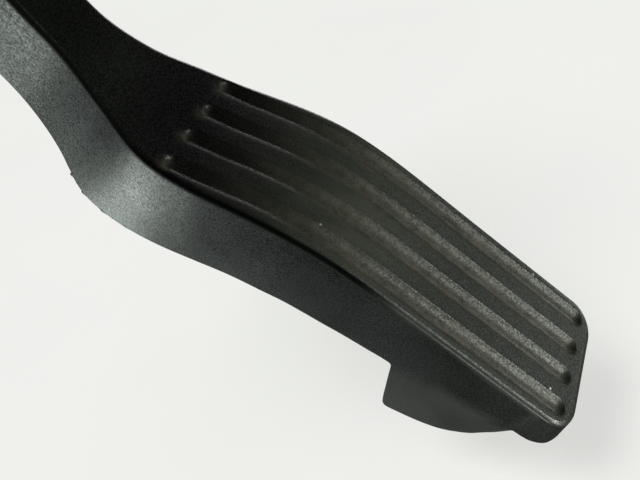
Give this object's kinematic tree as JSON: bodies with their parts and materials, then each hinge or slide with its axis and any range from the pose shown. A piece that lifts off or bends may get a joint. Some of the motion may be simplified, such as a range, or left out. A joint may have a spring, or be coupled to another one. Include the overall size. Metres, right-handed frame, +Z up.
{
  "type": "suspended foot pedal",
  "caption": "Swan-necked plastic foot pedal with a grooved pad, sprung on a steel shaft in a bolt-on housing with stops and a position sensor.",
  "frame": {"origin": "middle of the flat mounting face on the back of the housing, between its left and right edges, 14 mm below the shaft axis", "axes": "+Z up as installed, +Y from the driver towards the bulkhead and out of the mounting face, +X to the driver's right and along the shaft"},
  "size_m": [0.099, 0.1979, 0.291],
  "materials": {
    "lever_plastic": "black glass-filled nylon with a fine spark-eroded grain, dusty in the grooves",
    "housing_plastic": "black glass-filled nylon, fine matt grain",
    "cover_plastic": "black plastic, light satin",
    "dark_plastic": "black moulded plastic",
    "bearing_plastic": "natural white acetal",
    "stop_rubber": "matt black rubber",
    "seal_rubber": "red-brown silicone",
    "steel": "zinc-plated steel",
    "spring_steel": "oiled spring steel",
    "magnet": "dark sintered magnet",
    "board": "green circuit board",
    "terminal": "tinned brass"
  },
  "bodies": {
    "housing": {"housing": "housing_plastic", "bush_left": "bearing_plastic", "bush_right": "bearing_plastic", "pivot_cap": "cover_plastic", "idle_stop_bumper": "stop_rubber", "full_travel_bumper": "stop_rubber", "mounting_sleeve_1": "steel", "mounting_sleeve_2": "steel", "mounting_sleeve_3": "steel", "cover_gasket": "seal_rubber", "sensor_board": "board", "hall_sensor_1": "dark_plastic", "hall_sensor_2": "dark_plastic", "terminal_pin_1": "terminal", "terminal_pin_2": "terminal", "terminal_pin_3": "terminal", "terminal_pin_4": "terminal", "terminal_pin_5": "terminal", "terminal_pin_6": "terminal", "sensor_cover": "cover_plastic", "cover_screw_1": "steel", "cover_screw_2": "steel", "cover_screw_3": "steel", "cover_screw_4": "steel"},
    "pedal": {"pedal_arm": "lever_plastic", "pivot_shaft": "steel", "shaft_clip": "spring_steel", "return_spring_left": "spring_steel", "return_spring_right": "spring_steel", "spring_sleeve_left": "bearing_plastic", "spring_sleeve_right": "bearing_plastic", "friction_washer": "bearing_plastic", "wave_washer": "spring_steel", "magnet_carrier": "dark_plastic", "ring_magnet": "magnet"}
  },
  "joints": [
    {"name": "pedal_pivot", "type": "hinge", "parent": "housing", "child": "pedal", "pos_m": [0, -0.046, 0.014], "axis": [1, 0, 0], "range_deg": [0, 16], "stiffness_Nm_per_rad": 1.2, "springref_deg": -45.84, "deforming": ["return_spring_left", "return_spring_right"]}
  ]
}
